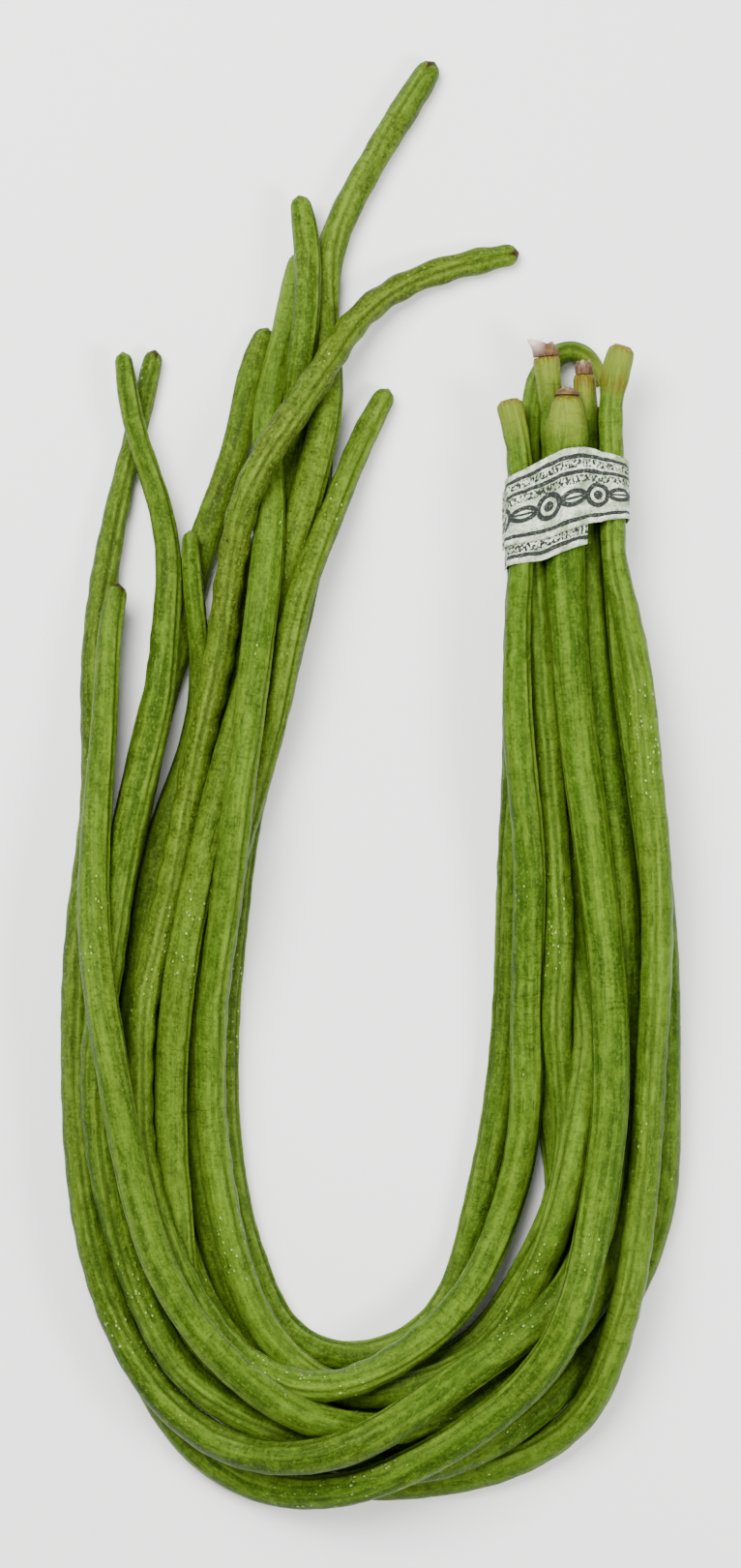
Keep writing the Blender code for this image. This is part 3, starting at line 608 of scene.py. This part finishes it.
class BeanStageSettings(bpy.types.PropertyGroup):
    """Floor, lights and camera."""
    floor_size: bpy.props.FloatProperty(name="Floor size", description="Side of the floor", default=6.0,
                                        unit="LENGTH")
    floor_white: bpy.props.StringProperty(name="Floor white", description="Most of the floor",
                                          default="#f4f4f2")
    floor_pale: bpy.props.StringProperty(name="Floor pale", description="Its paler clouds",
                                         default="#f8f8f7")
    view_height: bpy.props.FloatProperty(name="View height", description="Camera above the bunch's middle",
                                         default=1.1, unit="LENGTH")
    view_length: bpy.props.FloatProperty(name="View length", description="Length of the view along Y",
                                         default=0.4374, unit="LENGTH")
    softbox_power: bpy.props.FloatProperty(name="Softbox power", description="Power of the large light",
                                           default=34.0, unit="POWER")
    fill_strength: bpy.props.FloatProperty(name="Fill strength", description="Light of the surroundings",
                                           default=0.55)
    view_shift: bpy.props.FloatVectorProperty(name="View shift", description="Middle of the view from the "
                                              "bunch's middle", size=2, unit="LENGTH",
                                              default=(-0.1 * MM, -1.2 * MM))


# ---------------------------------------------------------------- the pieces

def pod_skin_grid(name, look, settings):
    """The skin of one pod over (distance along it, angle round it), and the fields on it.

    The radius is the CAD tube's, swollen by seeds and slow wander, pressed flat a little from
    above, less a bell-shaped groove at each seam and plus a rib on each side of it. The tip
    is fuller than the tube and closes as part of an ellipse, the stem end as a flat cut with a
    rounded rim.
    """
    band_low, band_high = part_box("paper_band")
    along, path = smooth_curve(tube_rings(name, 0.5 * (np.array(band_low) + np.array(band_high))),
                               settings.row_step)
    path = soften(path, 30)
    centre, radius = path[:, :3], path[:, 3:] + settings.swell
    along = along[:, None]
    length = along[-1]
    to_tip = length - along
    seed = PODS.index(name)

    def waver(draw, period):
        """This pod's wander along it, with a period in millimetres: draw tells it from others."""
        return wander(along, seed + draw, period * MM)

    tip_swell, tip_length, tip_ratio = 0.24, 30 * MM, 1.2    # ratio: rounding's length to radius
    cut_rim, rim_drop = 1.2 * MM, 0.1
    radius = radius * (1.0 + 0.035 * waver(0, 90))
    radius = radius * (1.0 + tip_swell * (1.0 - ease(to_tip / tip_length)))
    tip_round = tip_ratio * radius[-1]
    past = np.clip((along - (length - tip_round)) / tip_round, 0.0, 0.995)
    radius = radius * np.sqrt(1.0 - past**2)
    radius = radius * (1.0 - rim_drop * np.clip(1.0 - along / cut_rim, 0.0, 1.0)**2)
    dome, dome_length = look.get("dome", (0.0, 1.0))
    near_end = np.clip(1.0 - along / dome_length, 0.0, 1.0)
    radius = radius * (1.0 - dome * (1.0 - np.sqrt(1.0 - near_end**2)))
    collar = look.get("collar", 0.0)
    radius = radius * (1.0 + look.get("bulge", 0.0) * bell(along, 10 * MM, 7 * MM))
    radius = radius * (1.0 + collar * bell(along, 9 * MM, 3 * MM))

    turn = np.linspace(0.0, 2.0 * np.pi, settings.columns, endpoint=False)[None, :]
    seam = np.radians(np.interp(along / length, *np.array(look["seam"]).T))
    seam = soften(seam, 200) + 0.1 * waver(20, 60)
    off_seam = radius * np.arcsin(np.abs(np.sin(turn)))
    body = ease((along - 2 * MM) / (8 * MM)) * ease(to_tip / (9 * MM))
    strength = body * (0.8 + 0.3 * waver(40, 70))
    groove = bell(off_seam, 0.0, 0.6 * settings.seam_width)
    rib = bell(off_seam, 1.25 * settings.seam_width, 0.6 * settings.seam_width)
    facets = settings.facet_height * np.cos(6.0 * turn + 1.5 * waver(60, 120))
    seeds = np.cos(2.0 * np.pi * (along + 3 * MM * waver(80, 80)) / settings.seed_pitch)
    seeds = look["seeds"] * settings.seed_swell * body * seeds
    lumps = settings.lump_height * (np.cos(turn + 3.0 * waver(200, 40)) * waver(220, 17)
                                    + np.cos(3.0 * turn + 3.0 * waver(240, 30)) * waver(260, 12))
    side = np.sin(turn)**2
    pressed = look["flat"] * np.clip(body, 0.3, 1.0) * radius
    reach = (radius + strength * (rib * settings.rib_height - groove * settings.seam_depth + facets)
             + seeds * side + pressed * (0.45 - side) + lumps * body)

    up, right = path_frames(centre)
    phi = seam + turn
    grid = (centre[:, None, :] + (reach * np.cos(phi))[:, :, None] * up[:, None, :]
            + (reach * np.sin(phi))[:, :, None] * right[:, None, :])
    fields = {
        "seam": strength * groove,
        "rib": strength * rib * np.clip(0.75 + 0.4 * waver(100, 40), 0, 1),
        "pucker": np.clip(0.5 + 0.6 * waver(120, 110), 0.1, 1),
        "tint": look["tint"] + 0.25 * waver(140, 200),
        "pale": 0.75 * (1.0 - ease((along - 3 * MM) / (14 * MM))),
        "scar": (1.0 - ease(along / look.get("scar", 3 * MM))
                 + 5.0 * collar * bell(along, 11 * MM, 3 * MM)),
        "pebbly": (np.interp(along / length, (0, 0.55, 0.8), (0, 0.1, look["pebbly"]))
                   * np.clip(0.8 + 0.5 * waver(160, 50), 0, 1)),
        "wet": np.clip(0.5 + 0.9 * waver(180, 150), 0, 1) * ease((along - 40 * MM) / (30 * MM)),
        "dry": look["tip"] * (1.0 - ease(to_tip / (2.5 * MM))
                              + groove * (1.0 - ease(to_tip / (8 * MM)))),
    }
    fields = {field: np.broadcast_to(values, reach.shape) for field, values in fields.items()}
    fields["skin"] = np.stack(np.broadcast_arrays(
        reach * np.cos(turn) + 0.1 * seed, reach * np.sin(turn), along), axis=-1)
    return grid, fields


class BEANS_OT_pods(bpy.types.Operator):
    """Grow the skin of every pod along its tube."""
    bl_idname = "beans.pods"
    bl_label = "Pods"

    def execute(self, context):
        settings = context.scene.bean_pods
        material = fresh_pod_skin(settings)
        for node in PODS:
            name = node + "_skin"
            grid, fields = pod_skin_grid(node, POD_LOOKS[node], settings)
            add_piece(name, closed_skin(name, grid, fields), material, node)
        return {"FINISHED"}


def calyx_grid(node, seed, lobes, taper, curl):
    """A calyx over (distance along its axis, angle round it): a shrunken cup, open at the top.

    The outside narrows to a crumpled, shallowly lobed rim and the inside returns close under
    it, so the wall is thin and closed. A curl bends one side of the rim out to the left.
    """
    points, _ = welded(node)
    middle = points.mean(axis=0)
    ends = [tube_rings(name, middle)[0, :3] for name in PODS]
    outward = middle - min(ends, key=lambda end: np.linalg.norm(end - middle))
    outward /= np.linalg.norm(outward)
    side = np.cross(outward, (0.0, 0.0, 1.0))
    side /= np.linalg.norm(side)
    up = np.cross(side, outward)
    height = (points - middle) @ outward
    base, top = height.min(), height.max()
    wide = np.linalg.norm((points - middle) - np.outer(height, outward), axis=1).max()

    columns, outer_rows, inner_rows = 60, 20, 10
    wall = least_radius = 0.3 * MM
    turn = np.linspace(0.0, 2.0 * np.pi, columns, endpoint=False)[None, :]
    t = np.concatenate((np.linspace(0.0, 1.0, outer_rows), np.linspace(1.0, 0.3, inner_rows)))[:, None]
    inside = np.concatenate((np.zeros(outer_rows), np.ones(inner_rows)))[:, None]
    lobe = np.cos(lobes * turn + 0.8 * seed) * 0.7 + 0.3 * np.cos((2 * lobes + 1) * turn + seed)
    crumple = (wander(turn * 4 * MM + 7 * MM * t, seed, 8 * MM)
               + wander(turn * 8 * MM - 9 * MM * t, seed + 3, 6 * MM)) * np.cos(0.5 * turn)**2
    radius = wide * (1.0 - taper * t + 0.16 * np.sin(np.pi * t) + 0.05 * lobe * t + 0.22 * crumple * t)
    radius = np.maximum(radius - wall * inside, least_radius)
    left = np.clip(-np.sin(turn) * np.sign(side[0]), 0.0, 1.0)**2
    level = base + (top - base) * t * (1.0 - 0.16 * t * (0.5 - 0.5 * lobe))
    level = level + 0.55 * curl * left * t * (2.0 - t)
    radius = radius + curl * left * t**2
    grid = (middle + level[:, :, None] * outward + (radius * np.cos(turn))[:, :, None] * up
            + (radius * np.sin(turn))[:, :, None] * side)
    paper = np.clip(t**2 * (0.15 + 0.2 * lobe) + (1.3 * left * t if curl > 0.0 else 0.0), 0.0, 1.0)
    return grid, {"paper": paper}


class BEANS_OT_calyxes(bpy.types.Operator):
    """Shape the dried calyxes on the stem ends."""
    bl_idname = "beans.calyxes"
    bl_label = "Calyxes"

    def execute(self, context):
        material = dried_calyx(context.scene.bean_pods)
        for seed, (node, look) in enumerate(CALYX_LOOKS.items()):
            name = node + "_dried"
            grid, fields = calyx_grid(node, seed, **look)
            add_piece(name, closed_skin(name, grid, fields), material, node)
        return {"FINISHED"}


def leg_rings(middle):
    """Each pod's rings on the taped leg, near the tape's middle."""
    kept = []
    for name in PODS:
        rings = tube_rings(name, middle)
        on_leg = (rings[:, 0] > 0.5 * middle[0]) & (np.abs(rings[:, 1] - middle[1]) < LEG_REACH)
        kept.append(rings[on_leg])
    return kept


def leg_circles(pods, y):
    """The pods' cross-sections on the plane at y, as circles: rows of x, z and radius.

    A pod that crosses the plane aslant gets a larger circle, by how far it leans.
    """
    circles = []
    for rings in pods:
        a, b = rings[:-1], rings[1:]
        t = (y - a[:, 1]) / np.where(a[:, 1] == b[:, 1], 1.0, b[:, 1] - a[:, 1])
        for k in np.nonzero((t >= 0.0) & (t <= 1.0) & (a[:, 1] != b[:, 1]))[0]:
            x, _, z, radius = a[k] + t[k] * (b[k] - a[k])
            circles.append((x, z, radius * np.linalg.norm(b[k, :3] - a[k, :3]) / abs(b[k, 1] - a[k, 1])))
    return np.array(circles)


def strip_reach(middle, levels, angle):
    """How far from the leg's middle a taut strip lies, in each direction, on each level of y.

    In a direction, that is the least of all the tangents' distances: a tangent's own distance
    is the farthest any circle reaches along its normal.
    """
    least_turn = 0.05            # cosine past which a tangent is too far round to be met
    pods = leg_rings(middle)
    facing = np.linspace(0.0, 2.0 * np.pi, 360, endpoint=False)
    normals = np.stack((np.cos(facing), np.sin(facing)))
    turn = np.cos(angle[:, None] - facing[None, :])
    table = []
    for y in levels:
        circles = leg_circles(pods, y)
        support = ((circles[:, :2] - middle[[0, 2]]) @ normals + circles[:, 2:]).max(axis=0)
        reach = np.where(turn > least_turn, support / np.maximum(turn, least_turn), np.inf)
        table.append(reach.min(axis=1))
    return np.array(table)


def tape_grid(settings):
    """The tape over (turns wound round the pods, place across the strip).

    The strip starts under its own second turn, on top of the leg, and is wound leftward. It
    lies taut round the pods, each turn on the last and a little nearer the stem ends, and it is
    crinkled. Its edges run aslant, and the one at the stem ends bows up in the middle, as a
    tape wound on a cone does. Both faces and both edges are one closed loop of points across.
    """
    low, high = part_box("paper_band")
    middle = 0.5 * (np.array(low) + np.array(high))
    rows, columns, margin = 480, 33, 6 * MM
    wound = np.linspace(0.0, settings.turns, rows)
    angle = np.radians(settings.start_angle) + 2.0 * np.pi * wound
    levels = np.linspace(low[1] - margin, high[1] + margin, 11)
    table = strip_reach(middle, levels, angle)
    across = np.concatenate((np.linspace(0.0, 1.0, columns), np.linspace(1.0, 0.0, columns)))
    outer = np.concatenate((np.ones(columns), np.zeros(columns)))
    outline = table.mean(axis=0) * np.stack((np.cos(angle), np.sin(angle)))
    along = np.concatenate(([0.0], np.cumsum(np.linalg.norm(np.diff(outline, axis=1), axis=0))))[:, None]
    angle, wound = angle[:, None], wound[:, None]
    sideways = np.cos(angle)
    above = np.clip(np.sin(angle), 0.0, 1.0)
    y = (middle[1] + settings.level + settings.width * (0.5 - across)
         + settings.turn_shift * (wound - 1.0) + settings.slant * sideways * (0.7 + 0.3 * across)
         + settings.bow * (above - 0.5) * (1.0 - 0.9 * across) + 0.35 * MM * wander(along, 9, 16 * MM))
    level = np.clip((y - levels[0]) / (levels[1] - levels[0]), 0.0, len(levels) - 1.001)
    row = np.floor(level).astype(int)
    column = np.arange(rows)[:, None]
    reach = table[row, column] * (1.0 - level + row) + table[row + 1, column] * (level - row)
    wrinkle = (0.17 * MM * wander(along + 22 * MM * across, 1, 11 * MM)
               + 0.15 * MM * wander(along - 14 * MM * across, 6, 4.5 * MM)
               + 0.12 * MM * wander(30 * MM * across + 0.4 * along, 7, 5 * MM))
    reach = (reach + settings.clearance + settings.turn_rise * wound + wrinkle * (0.3 + 0.7 * outer)
             + settings.thickness * outer)
    height = middle[2] + reach * np.sin(angle)
    off_floor = 0.05 * MM
    floor = off_floor + settings.turn_rise * (settings.turns - wound) + settings.thickness * (1.0 - outer)
    grid = np.stack((middle[0] + reach * sideways, np.broadcast_to(y, reach.shape),
                     np.maximum(height, floor)), axis=-1)
    tape = np.stack(np.broadcast_arrays(along, settings.width * across, wound), axis=-1)
    return grid[::-1], {"tape": tape[::-1]}


class BEANS_OT_tape(bpy.types.Operator):
    """Wind the paper tape round the stem ends."""
    bl_idname = "beans.tape"
    bl_label = "Paper tape"

    def execute(self, context):
        settings = context.scene.bean_tape
        grid, fields = tape_grid(settings)
        mesh = closed_skin("paper_tape_strip", grid, fields)
        add_piece("paper_tape_strip", mesh, printed_paper(settings), "paper_band")
        return {"FINISHED"}


class BEANS_OT_stage(bpy.types.Operator):
    """Set the pale floor, the soft lights and the camera that looks straight down."""
    bl_idname = "beans.stage"
    bl_label = "Stage"

    def execute(self, context):
        stage = context.scene.bean_stage
        material, tree, shader = new_material("pale_matt_board")
        cloud, = grains(tree, add_node(tree, "TexCoord", output="Object"), ((0.4, 0.4, 0.4), 2.0, 0.55))
        colour = coated(tree, stage.floor_white, ((cloud, 0.0, 1.0, 0.0, 1.0, stage.floor_pale),))
        tree.links.new(colour, shader.inputs["Base Color"])
        shader.inputs["Roughness"].default_value = 0.9
        half = 0.5 * stage.floor_size
        mesh = bpy.data.meshes.new("floor")
        corners = [(-half, -half, 0.0), (half, -half, 0.0), (half, half, 0.0), (-half, half, 0.0)]
        mesh.from_pydata(corners, [], [(0, 1, 2, 3)])
        mesh.materials.append(material)
        floor = bpy.data.objects.new("floor", mesh)
        context.scene.collection.objects.link(floor)

        world = bpy.data.worlds.new("pale_surroundings")
        world.use_nodes = True
        background = world.node_tree.nodes["Background"]
        background.inputs["Color"].default_value = linear("#ffffff")
        background.inputs["Strength"].default_value = stage.fill_strength
        context.scene.world = world

        for name, place, size, power in (("softbox", (-0.35, 0.45, 1.0), 0.7, stage.softbox_power),
                                         ("rim_light", (0.6, -0.2, 0.7), 0.3, 0.25 * stage.softbox_power)):
            data = bpy.data.lights.new(name, "AREA")
            data.size = size
            data.energy = power
            lamp = bpy.data.objects.new(name, data)
            lamp.location = place
            lamp.rotation_euler = (-Vector(place)).to_track_quat("-Z", "Y").to_euler()
            context.scene.collection.objects.link(lamp)

        data = bpy.data.cameras.new("camera")
        data.sensor_fit = "VERTICAL"
        data.sensor_height = 36.0
        data.lens = data.sensor_height * stage.view_height / stage.view_length
        camera = bpy.data.objects.new("camera", data)
        middle = 0.5 * (np.array(CAD_BOX[0]) + np.array(CAD_BOX[1]))
        camera.location = (middle[0] + stage.view_shift[0], middle[1] + stage.view_shift[1],
                           middle[2] + stage.view_height)
        context.scene.collection.objects.link(camera)
        context.scene.camera = camera
        return {"FINISHED"}


class BEANS_PT_panel(bpy.types.Panel):
    """Lists the pieces and their settings."""
    bl_label = "Yardlong bean bunch"
    bl_idname = "BEANS_PT_panel"
    bl_space_type = "VIEW_3D"
    bl_region_type = "UI"
    bl_category = "Beans"

    def draw(self, context):
        for group, operators in ((context.scene.bean_pods, ("beans.pods", "beans.calyxes")),
                                 (context.scene.bean_tape, ("beans.tape",)),
                                 (context.scene.bean_stage, ("beans.stage",))):
            box = self.layout.box()
            for operator in operators:
                box.operator(operator)
            for field in group.bl_rna.properties:
                if field.identifier not in ("rna_type", "name"):
                    box.prop(group, field.identifier)


CLASSES = (BeanPodSettings, PaperTapeSettings, BeanStageSettings, BEANS_OT_pods, BEANS_OT_calyxes,
           BEANS_OT_tape, BEANS_OT_stage, BEANS_PT_panel)


def register():
    """Makes the pieces' operators, their settings and the panel known."""
    for cls in CLASSES:
        bpy.utils.register_class(cls)
    bpy.types.Scene.bean_pods = bpy.props.PointerProperty(type=BeanPodSettings)
    bpy.types.Scene.bean_tape = bpy.props.PointerProperty(type=PaperTapeSettings)
    bpy.types.Scene.bean_stage = bpy.props.PointerProperty(type=BeanStageSettings)


def unregister():
    """Takes them away again."""
    del bpy.types.Scene.bean_stage
    del bpy.types.Scene.bean_tape
    del bpy.types.Scene.bean_pods
    for cls in reversed(CLASSES):
        bpy.utils.unregister_class(cls)


def main():
    """Makes every piece."""
    register()
    bpy.ops.beans.stage()
    bpy.ops.beans.pods()
    bpy.ops.beans.calyxes()
    bpy.ops.beans.tape()


if __name__ == "__main__":
    main()
